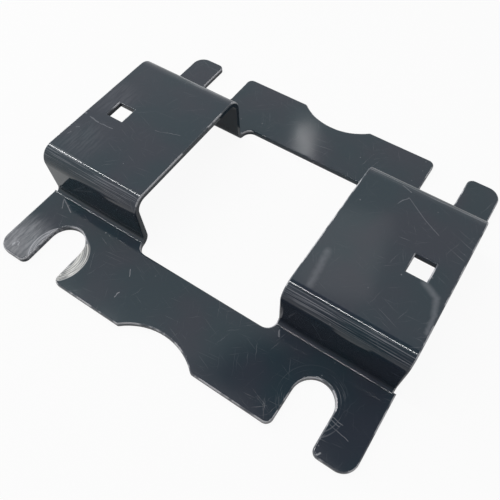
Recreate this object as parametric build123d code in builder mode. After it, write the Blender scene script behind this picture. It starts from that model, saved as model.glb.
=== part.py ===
"""Motor mounting bracket: one sheet of steel, stamped and folded.

Two flat strips lie on the ground, one in front and one behind. Two bridges rise between them like
staples, one at each end, and leave a window in the middle. Each strip has two open slots and a
shallow round notch in its long edge. Each bridge has a square hole in the middle of its crown.

Frame: origin at the middle of the underside, +X along the strips from the left bridge to the
right, +Y along the bridges from the front strip to the back, +Z up.
"""

from build123d import *
from math import isclose, sqrt
import os

os.makedirs("parts", exist_ok=True)

# The sheet and its folds. Both fold radii are those of the outer skin.
SHEET = 2.5
HEIGHT = 29.7
CROWN_RADIUS = 7.8
FOOT_RADIUS = 2.5
WEB_SPAN = 81.2

# The outline, seen from above. The strips reach a small step further out than the bridges do, and
# the step is a little way up the foot fold. The window runs a little way past the foot folds.
WIDTH = 162.4
BRIDGE_SPAN = 190.0
BRIDGE_WIDTH = 57.0
END_STEP = 1.2
STEP_RISE = 1.2
WINDOW_MARGIN = 3.9
WINDOW_CORNER = 5.0

# The open slots, the fingers outside them, and the rounded corners at their mouths
SLOT_WIDTH = 19.0
SLOT_DEPTH = 27.5
FINGER_WIDTH = 17.9
END_CORNER = 7.0
FINGER_CORNER = 3.2
STRIP_CORNER = 3.4

# The round notch in the long edge of each strip
NOTCH_RADIUS = 30.5
NOTCH_DEPTH = 7.65
NOTCH_CORNER = 1.5

# The square holes, one in each crown, and how far in they are from the bridges' outer edges
BOLT_SQUARE = 9.3
BOLT_INSET = 15.0

# The rounding that the punch leaves all round the outer skin
DIE_ROLL = 0.8

# What follows from the sizes above
half_length = BRIDGE_SPAN / 2 + END_STEP
half_width = WIDTH / 2
web_outside = WEB_SPAN / 2
web_inside = web_outside - SHEET
foot_y = web_outside + FOOT_RADIUS
step_y = foot_y - STEP_RISE
window_length = BRIDGE_SPAN - 2 * BRIDGE_WIDTH
window_width = 2 * (foot_y + WINDOW_MARGIN)
bolt_spacing = BRIDGE_SPAN - 2 * BOLT_INSET
slot_outer_x = half_length - FINGER_WIDTH
slot_inner_x = slot_outer_x - SLOT_WIDTH
slot_spacing = slot_inner_x + slot_outer_x
slot_end_y = half_width - SLOT_DEPTH + SLOT_WIDTH / 2
notch_centre_y = half_width - NOTCH_DEPTH + NOTCH_RADIUS
notch_mouth_x = sqrt(NOTCH_RADIUS**2 - (NOTCH_RADIUS - NOTCH_DEPTH) ** 2)
same = 1e-4


def edge_corners(outline, x):
    """The corners on both long edges of the outline, at a distance x from its middle."""
    return outline.vertices().filter_by(
        lambda corner: isclose(abs(corner.X), x, abs_tol=same)
        and isclose(abs(corner.Y), half_width, abs_tol=same)
    )


def is_skin(face):
    """Whether a face is part of the outer skin: a flat top, an outside web or a fold's outside."""
    if face.geom_type == GeomType.CYLINDER:
        lies_along_x = abs(face.axis_of_rotation.direction.X) > 0.5
        return lies_along_x and min(abs(face.radius - r) for r in (CROWN_RADIUS, FOOT_RADIUS)) < same
    if abs(face.normal_at().Z) > 0.5:
        return face.normal_at().Z > 0
    return isclose(abs(face.center().Y), web_outside, abs_tol=same)


# The outline of the sheet, with all that is punched out of it
with BuildSketch() as outline:
    Rectangle(BRIDGE_SPAN, WIDTH)
    with GridLocations(0, half_width + step_y, 1, 2):
        Rectangle(2 * half_length, half_width - step_y)
    with GridLocations(slot_spacing, 2 * slot_end_y, 2, 2):
        Circle(SLOT_WIDTH / 2, mode=Mode.SUBTRACT)
    with GridLocations(slot_spacing, half_width + slot_end_y, 2, 2):
        Rectangle(SLOT_WIDTH, half_width - slot_end_y, mode=Mode.SUBTRACT)
    with GridLocations(0, 2 * notch_centre_y, 1, 2):
        Circle(NOTCH_RADIUS, mode=Mode.SUBTRACT)
    fillet(edge_corners(outline, half_length), END_CORNER)
    fillet(edge_corners(outline, slot_outer_x), FINGER_CORNER)
    fillet(edge_corners(outline, slot_inner_x), STRIP_CORNER)
    fillet(edge_corners(outline, notch_mouth_x), NOTCH_CORNER)
    RectangleRounded(window_length, window_width, WINDOW_CORNER, mode=Mode.SUBTRACT)
    with GridLocations(bolt_spacing, 0, 2, 1):
        Rectangle(BOLT_SQUARE, BOLT_SQUARE, mode=Mode.SUBTRACT)

with BuildPart() as bracket:
    # The folded section, drawn along its underside: strip, web, crown, web, strip
    with BuildSketch(Plane.YZ):
        with BuildLine():
            foot_fold = FOOT_RADIUS + SHEET
            crown_fold = CROWN_RADIUS - SHEET
            underside = FilletPolyline(
                (-half_width, 0),
                (-web_inside, 0),
                (-web_inside, HEIGHT - SHEET),
                (web_inside, HEIGHT - SHEET),
                (web_inside, 0),
                (half_width, 0),
                radius=[foot_fold, crown_fold, crown_fold, foot_fold],
            )
            offset(underside, SHEET, side=Side.LEFT)
        make_face()
    extrude(amount=half_length, both=True)
    extrude(outline.sketch, amount=HEIGHT, mode=Mode.INTERSECT)

    # The die roll runs along the rim of the skin: the edges that only one of its faces has
    skin_edges = bracket.faces().filter_by(is_skin).edges()
    fillet(skin_edges.filter_by(lambda edge: skin_edges.count(edge) == 1), DIE_ROLL)

bracket.part.label = "bracket"
export_step(bracket.part, "parts/bracket.step")
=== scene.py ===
"""Dresses the motor mounting bracket: worn, glossy, dark blue-grey paint on folded sheet steel."""

from math import cos, radians, sin

import bpy
from mathutils import Matrix, Vector

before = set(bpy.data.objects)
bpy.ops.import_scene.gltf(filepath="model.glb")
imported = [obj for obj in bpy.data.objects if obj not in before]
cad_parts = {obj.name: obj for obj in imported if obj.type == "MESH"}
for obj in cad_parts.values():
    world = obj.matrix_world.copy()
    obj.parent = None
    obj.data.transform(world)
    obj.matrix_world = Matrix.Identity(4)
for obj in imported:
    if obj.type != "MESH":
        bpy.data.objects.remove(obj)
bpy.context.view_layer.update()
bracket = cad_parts["bracket"]

# How bright the room's surroundings are, where 1 is white
WALL_LIGHT = 0.78
DIM_LIGHT = 0.16
ZENITH_LIGHT = 0.12
ZENITH_INNER, ZENITH_OUTER = 17.5, 21.5  # degrees from the middle of the dark patch overhead

# The floor is this much plain white to the camera, and to reflections
FLOOR_SEEN, FLOOR_MIRRORED = 0.93, 0.2
FLOOR_HALF = 3.0
FLOOR_DROP = 0.0002

# The colours of the paint, of its worn places (also used for the painted highlights and
# reflection), of the rims' wear and painted highlight, and of the bare steel
PAINT_GREENER = (0.016, 0.033, 0.045, 1)
PAINT_BLUER = (0.025, 0.032, 0.046, 1)
WORN_AND_SHEEN = (0.30, 0.31, 0.34, 1)
# A pale colour for the rims: their wear and a painted highlight along the rounded edge
RIM_WEAR_AND_HIGHLIGHT = (0.58, 0.58, 0.60, 1)
STEEL_DARK = (0.09, 0.095, 0.1, 1)
STEEL_LIGHT = (0.5, 0.5, 0.48, 1)


# Numbers that vary over a surface, as the outputs of shader nodes

class Field:
    """A number that varies from place to place. Sums and products of fields make new ones."""

    def __init__(self, socket):
        self.socket = socket
        self.tree = socket.id_data

    def math(self, operation, *others):
        step = self.tree.nodes.new("ShaderNodeMath")
        step.operation = operation
        for slot, value in zip(step.inputs, (self, *others)):
            plug(value, slot)
        return Field(step.outputs[0])

    def __add__(self, other):
        return self.math("ADD", other)

    def __sub__(self, other):
        return self.math("SUBTRACT", other)

    def __mul__(self, other):
        return self.math("MULTIPLY", other)

    def __rsub__(self, other):
        return (self * -1) + other

    __radd__ = __add__

    def __abs__(self):
        return self.math("ABSOLUTE")

    def most(self, other):
        return self.math("MAXIMUM", other)

    def least(self, other):
        return self.math("MINIMUM", other)


def plug(value, slot):
    """Links a field or a socket to a slot, or sets the slot to a plain value."""
    if isinstance(value, Field):
        value = value.socket
    if isinstance(value, bpy.types.NodeSocket):
        slot.id_data.links.new(value, slot)
    else:
        slot.default_value = value


def ramp(value, start, end):
    """0 where value is at start, 1 where it is at end, and smooth between them."""
    step = value.tree.nodes.new("ShaderNodeMapRange")
    step.interpolation_type = "SMOOTHSTEP"
    plug(value, step.inputs["Value"])
    plug(start, step.inputs["From Min"])
    plug(end, step.inputs["From Max"])
    return Field(step.outputs["Result"])


def length(a, b):
    return (a * a + b * b).math("SQRT")


def vector(x, y, z):
    """A vector of three numbers, of which at least one is a field."""
    tree = next(value.tree for value in (x, y, z) if isinstance(value, Field))
    step = tree.nodes.new("ShaderNodeCombineXYZ")
    for slot, value in zip(step.inputs, (x, y, z)):
        plug(value, slot)
    return step.outputs[0]


def parts_of(socket):
    """The x, y and z of a vector."""
    step = socket.id_data.nodes.new("ShaderNodeSeparateXYZ")
    plug(socket, step.inputs[0])
    return [Field(out) for out in step.outputs]


def noise(point, scale=1.0, detail=2.0, roughness=0.5):
    step = point.id_data.nodes.new("ShaderNodeTexNoise")
    plug(point, step.inputs["Vector"])
    step.inputs["Scale"].default_value = scale
    step.inputs["Detail"].default_value = detail
    step.inputs["Roughness"].default_value = roughness
    return Field(step.outputs["Fac"])


def blend(amount, low, high):
    """The colour low, turning to high as amount goes from 0 to 1."""
    step = amount.tree.nodes.new("ShaderNodeMix")
    step.data_type = "RGBA"
    plug(amount, step.inputs["Factor"])
    plug(low, step.inputs["A"])
    plug(high, step.inputs["B"])
    return step.outputs["Result"]


def make_material(name):
    material = bpy.data.materials.new(name)
    material.use_nodes = True
    return material, material.node_tree, material.node_tree.nodes["Principled BSDF"]


# The camera, the light and the floor

def place(data, location):
    thing = bpy.data.objects.new(data.name, data)
    bpy.context.scene.collection.objects.link(thing)
    thing.location = location
    return thing


def make_camera():
    """A camera above the front right, looking down and to the left at the bracket."""
    data = bpy.data.cameras.new("camera")
    data.sensor_width = 36
    data.lens = 35.731
    data.shift_x, data.shift_y = -0.0346, 0.0415
    camera = place(data, (0, 0, 0))
    right = Vector((0.83732, 0.5467, 0.00266))
    down = Vector((0.47853, -0.73055, -0.48714))
    ahead = Vector((-0.26438, 0.40916, -0.87332))
    turn = Matrix((right, -down, -ahead)).transposed()
    camera.matrix_world = Matrix.Translation(Vector((0.08144, -0.11696, 0.204))) @ turn.to_4x4()
    bpy.context.scene.camera = camera


def direction(azimuth, elevation):
    azimuth, elevation = radians(azimuth), radians(elevation)
    return Vector((cos(elevation) * cos(azimuth), cos(elevation) * sin(azimuth), sin(elevation)))


def make_lamp(name, location, size, target, watts):
    """A soft rectangular lamp that faces its target."""
    data = bpy.data.lights.new(name, "AREA")
    data.shape = "RECTANGLE"
    data.size, data.size_y = size
    data.energy = watts
    lamp = place(data, location)
    aim = Vector(target) - Vector(location)
    lamp.rotation_euler = aim.to_track_quat("-Z", "Y").to_euler()


def make_world():
    """A room with pale walls behind and to the left, dim ones in front, and a dark zenith."""
    world = bpy.data.worlds.new("room")
    world.use_nodes = True
    bpy.context.scene.world = world
    tree = world.node_tree
    coordinates = tree.nodes.new("ShaderNodeTexCoord")
    x, y, z = parts_of(coordinates.outputs["Generated"])
    across = direction(150, 0)
    walls = ramp(x * across.x + y * across.y, -0.45, 0.15)
    above = direction(60, 85)
    zenith = ramp(
        x * above.x + y * above.y + z * above.z,
        cos(radians(ZENITH_OUTER)), cos(radians(ZENITH_INNER)),
    )
    light = walls * (WALL_LIGHT - DIM_LIGHT) + DIM_LIGHT
    light = light * (1 - zenith) + zenith * ZENITH_LIGHT

    def glow(azimuth, elevation, wide, high, soft):
        """A soft-edged bright patch on the wall, in degrees."""
        middle = direction(azimuth, elevation)
        right = Vector((-middle.y, middle.x, 0)).normalized()
        up = middle.cross(right)
        beside = abs(x * right.x + y * right.y)
        over = abs(x * up.x + y * up.y + z * up.z)
        facing = ramp(x * middle.x + y * middle.y + z * middle.z, 0, 0.5)
        beside = ramp(beside, radians(wide + soft), radians(wide))
        over = ramp(over, radians(high + soft), radians(high))
        return beside * over * facing

    light = light + glow(107, 57.5, 3.5, 4.0, 2.0) * 0.5
    light = light + glow(117, 46.3, 0.4, 1.4, 1.2) * 3.6
    light = light + noise(coordinates.outputs["Generated"], 2, 1) * 0.16 - 0.08
    background = tree.nodes["Background"]
    background.inputs["Color"].default_value = (1, 1, 1, 1)
    plug(light.most(0), background.inputs["Strength"])


def make_floor():
    """A pale floor, which keeps a soft shadow."""
    mesh = bpy.data.meshes.new("floor")
    corners = [(-1, -1), (1, -1), (1, 1), (-1, 1)]
    points = [(side_x * FLOOR_HALF, side_y * FLOOR_HALF, 0) for side_x, side_y in corners]
    mesh.from_pydata(points, [], [(0, 1, 2, 3)])
    floor = place(mesh, (0, 0, -FLOOR_DROP))
    material, tree, bsdf = make_material("floor")
    bsdf.inputs["Base Color"].default_value = (0.62, 0.62, 0.62, 1)
    bsdf.inputs["Roughness"].default_value = 1
    bsdf.inputs["Specular IOR Level"].default_value = 0
    paths = tree.nodes.new("ShaderNodeLightPath")
    seen = Field(paths.outputs["Is Camera Ray"])
    through = Field(paths.outputs["Is Transmission Ray"])
    mirrored = Field(paths.outputs["Is Glossy Ray"]).most(through)
    glow = tree.nodes.new("ShaderNodeEmission")
    mix = tree.nodes.new("ShaderNodeMixShader")
    plug((seen * FLOOR_SEEN).most(mirrored * FLOOR_MIRRORED), mix.inputs["Fac"])
    tree.links.new(bsdf.outputs[0], mix.inputs[1])
    tree.links.new(glow.outputs[0], mix.inputs[2])
    tree.links.new(mix.outputs[0], tree.nodes["Material Output"].inputs["Surface"])
    mesh.materials.append(material)


make_camera()
make_world()
make_floor()
make_lamp("strip", (-0.3, -0.015, 0.62), (1.0, 0.01), (-0.3, -0.015, 0), 2.2)
make_lamp("left", (-0.42, -0.01, 0.38), (0.1, 0.1), (-0.05, 0, 0), 0.05)
make_lamp("fill", (-0.9, 0.1, 0.25), (0.5, 0.5), (0, 0, 0), 3.2)
bpy.context.scene.view_settings.view_transform = "Standard"

# The paint, its wear, and some painted highlights and a painted reflection. Places are in
# millimetres.

paint, tree, bsdf = make_material("paint")
coordinates = tree.nodes.new("ShaderNodeTexCoord")
geometry = tree.nodes.new("ShaderNodeNewGeometry")
x, y, z = [part * 1000 for part in parts_of(coordinates.outputs["Object"])]
here = vector(x, y, z)
lean_x, lean_y, lean_z = parts_of(geometry.outputs["Normal"])
on_strip = ramp(z, 6, 4)
on_crown = ramp(z, 25, 27)
sheet = y + z  # runs on over the folds, so that marks do too

# The listed marks waver a little, so they are drawn on coordinates that do
sway = noise(here, 0.35) - 0.5
swayed_x = x + sway * 1.6
swayed_y = y - sway * 1.2


def grain(angle, along, across, seed):
    """A streaky pattern at an angle to the strips, along and across in streaks per millimetre."""
    turn = radians(angle)
    run = swayed_x * cos(turn) + sheet * sin(turn)
    side = sheet * cos(turn) - swayed_x * sin(turn)
    return noise(vector(run * along, side * across, seed), detail=3)


def stroke(start, end, width, core=0.3):
    """One scratch, as 1 along its core and 0 past its edges."""
    (ax, ay), (bx, by) = start, end
    dx, dy = bx - ax, by - ay
    run = ((swayed_x - ax) * dx + (swayed_y - ay) * dy) * (1 / (dx * dx + dy * dy))
    run = run.most(0).least(1)
    gap = length(swayed_x - ax - run * dx, swayed_y - ay - run * dy)
    return ramp(gap, width, width * core)


def spot(centre, inner, outer):
    """A round patch, as 1 within its inner radius and 0 past its outer one."""
    gap = length(swayed_x - centre[0], swayed_y - centre[1])
    return ramp(gap, outer, inner)


def most_of(fields):
    result = fields[0]
    for field in fields[1:]:
        result = result.most(field)
    return result


# Fine scratches in every direction, thicker in some places than in others
patches = ramp(noise(here, 0.05, 2), 0.45, 0.68)
hairlines = most_of([
    ramp(grain(angle, 0.05, 2.2, seed), 0.66, 0.74)
    for seed, angle in enumerate((8, 40, 75, 118, 160))
])
hairlines = hairlines * (patches * 0.5 + 0.2)

# Where the washers sat: one print over each front slot, the left one off its middle
left_print = length(x + 67.5, y + 69)
right_print = length(x - 68.8, y + 63.2)
turns = noise(vector(left_print * 1.8, (x + y) * 0.06, 3), detail=3)
left_rub = ramp(left_print, 15.2, 14.4) * on_strip * ramp(y, -40, -50)
left_rings = left_rub * (0.35 + ramp(turns, 0.4, 0.62))
bare = left_rub * ramp(x, -60.5, -59.4) * ramp(y, -56, -58.5)
bare = bare * ramp(turns + left_print * 0.02, 0.52, 0.72)
right_turns = noise(vector(right_print * 1.6, (x - y) * 0.05, 5), detail=3)
right_rings = ramp(abs(right_print - 13.2), 2.2, 1.4) * ramp(right_turns, 0.52, 0.66)
right_rings = right_rings * on_strip * ramp(y, -40, -48)

# The crown folds are rubbed along their length
fold = ramp(lean_z, 0.2, 0.6) * ramp(lean_z, 0.995, 0.95)
fold = fold * ramp(z, 20, 24) * ramp(abs(lean_x), 0.3, 0.1)
brushed = fold * ramp(grain(0, 0.03, 1.6, 8), 0.5, 0.66)

# Marks that stand alone
strip_marks = most_of([
    stroke((-88, -44), (-79.5, -48.2), 0.35),
    stroke((-88, -44.4), (-84.5, -49), 0.25),
    stroke((-33, -57), (-31, -60), 0.3),
    stroke((-30, -71.5), (-29.8, -68.5), 0.3),
    stroke((79, -64.4), (84, -65), 0.2),
    stroke((78.3, -67.2), (88.3, -69), 0.12),
    stroke((79, -65.6), (83, -66.2), 0.15),
    stroke((80.2, -80.6), (81.6, -78.8), 0.4),
    stroke((41, -44.4), (42.4, -47), 0.5),
]) * on_strip
crown_marks = most_of([
    stroke((-90.3, -10.4), (-84, -11.4), 0.4),
    stroke((-83, -11.5), (-76, -10.6), 0.3),
    stroke((-95.5, -10.4), (-93.4, -9.8), 0.6),
    stroke((-95.5, -7.4), (-93.8, -7.2), 0.5),
    stroke((-91.8, -24.4), (-91, -23), 0.35),
    stroke((-91, -19.4), (-90, -18.4), 0.35),
    stroke((-58, -0.6), (-51.3, 1.8), 0.1),
    stroke((-51.3, 1.8), (-45.9, 3.4), 0.15),
    stroke((55.5, 34.5), (60.5, 32.6), 0.3),
    stroke((57.6, 24.3), (60.6, 29.6), 0.25),
    stroke((60.6, 29.6), (71.9, 22.1), 0.18),
    stroke((71.9, 22.1), (79.7, 18.2), 0.18),
]) * on_crown
marks = strip_marks.most(crown_marks * 0.8) * (0.4 + noise(here, 0.6, 2))

# Soft scuffs on the crowns, and the haze on the left finger and by the left hole. By the hole the
# haze is worn paint; on the left finger it is partly worn paint and partly a painted reflection of
# light, drawn as a streaky haze
scuffs = most_of([
    stroke((84, -5.7), (90.6, -9.3), 2.4, 0),
    stroke((90.6, -9.3), (93, -17), 2.2, 0),
    stroke((93, -17), (93.6, -25), 1.6, 0),
    stroke((44.4, -14), (46.2, -31), 2.6, 0) * 0.8,
]) * on_crown * (0.5 + noise(here, 0.4, 4))
haze_and_reflection = (
    # Painted reflection and haze on the left finger
    spot((-88, -70), 3, 16) * on_strip * 0.9
    + spot((-84, -24), 2, 18) * on_crown * 0.2
    + spot((-89, 6), 4, 16) * on_crown * 0.2
) * (0.2 + ramp(grain(90, 0.12, 0.8, 15), 0.35, 0.65))
chipped = spot((-88.4, -76), 0.5, 3.5) * ramp(noise(here, 0.9, 4), 0.45, 0.6)

# Small chips
cells = tree.nodes.new("ShaderNodeTexVoronoi")
plug(here, cells.inputs["Vector"])
cells.inputs["Scale"].default_value = 0.16
chance = parts_of(cells.outputs["Color"])[0]
flecks = ramp(Field(cells.outputs["Distance"]), 0.06, 0.025) * ramp(chance, 0.5, 0.7)

# The rounded rims are rubbed thin and carry a painted highlight, a thin light line along the edge:
# all ends and sides, but not the foot folds
side_lean = ramp(abs(lean_x).most(ramp(abs(y), 48, 52) * abs(lean_y)), 0.1, 0.3)
rim_wear_and_highlight = ramp(lean_z, 0.05, 0.3) * ramp(lean_z, 0.99, 0.93) * side_lean
rim_wear_and_highlight = rim_wear_and_highlight * (0.3 + ramp(grain(30, 0.1, 0.1, 12), 0.42, 0.58))

# All the wear in one, together with the painted rim highlight and the painted reflection on the
# left finger
wear_and_sheen = most_of([
    hairlines * 0.45, left_rings * 0.65, right_rings * 0.35, brushed * 0.5,
    marks * 0.5, scuffs * 0.26, haze_and_reflection * 0.38, flecks * 0.5, rim_wear_and_highlight * 0.9, chipped * 0.9,
]).most(bare).least(1)

# Two shades of the same paint, in broad soft patches, and streaky steel where it is gone
tint = ramp(noise(here, 0.03, 2), 0.35, 0.65)
colour = blend(tint, PAINT_GREENER, PAINT_BLUER)
colour = blend(wear_and_sheen, colour, WORN_AND_SHEEN)
steel_streaks = ramp(noise(vector(left_print * 2.2, (x + y) * 0.1, 7), detail=3), 0.38, 0.6)
# The rims are lightened further with the pale colour of the painted rim highlight
colour = blend(ramp(rim_wear_and_highlight, 0.5, 1) * 0.5, colour, RIM_WEAR_AND_HIGHLIGHT)
colour = blend(bare, colour, blend(steel_streaks, STEEL_DARK, STEEL_LIGHT))
plug(colour, bsdf.inputs["Base Color"])
plug(bare * 0.3, bsdf.inputs["Metallic"])
dullness = wear_and_sheen * 0.35 + noise(here, 0.08, 2) * 0.06 + 0.06
plug(dullness.least(0.5), bsdf.inputs["Roughness"])

# The sheet is not quite flat, and the scratches cut into it
height = noise(here, 0.045, 1) * 0.06 * ramp(lean_z, 0.9, 0.99) - hairlines * 0.004
bump = tree.nodes.new("ShaderNodeBump")
bump.inputs["Strength"].default_value = 1
bump.inputs["Distance"].default_value = 0.001
plug(height, bump.inputs["Height"])
plug(bump.outputs[0], bsdf.inputs["Normal"])
bracket.data.materials.clear()
bracket.data.materials.append(paint)
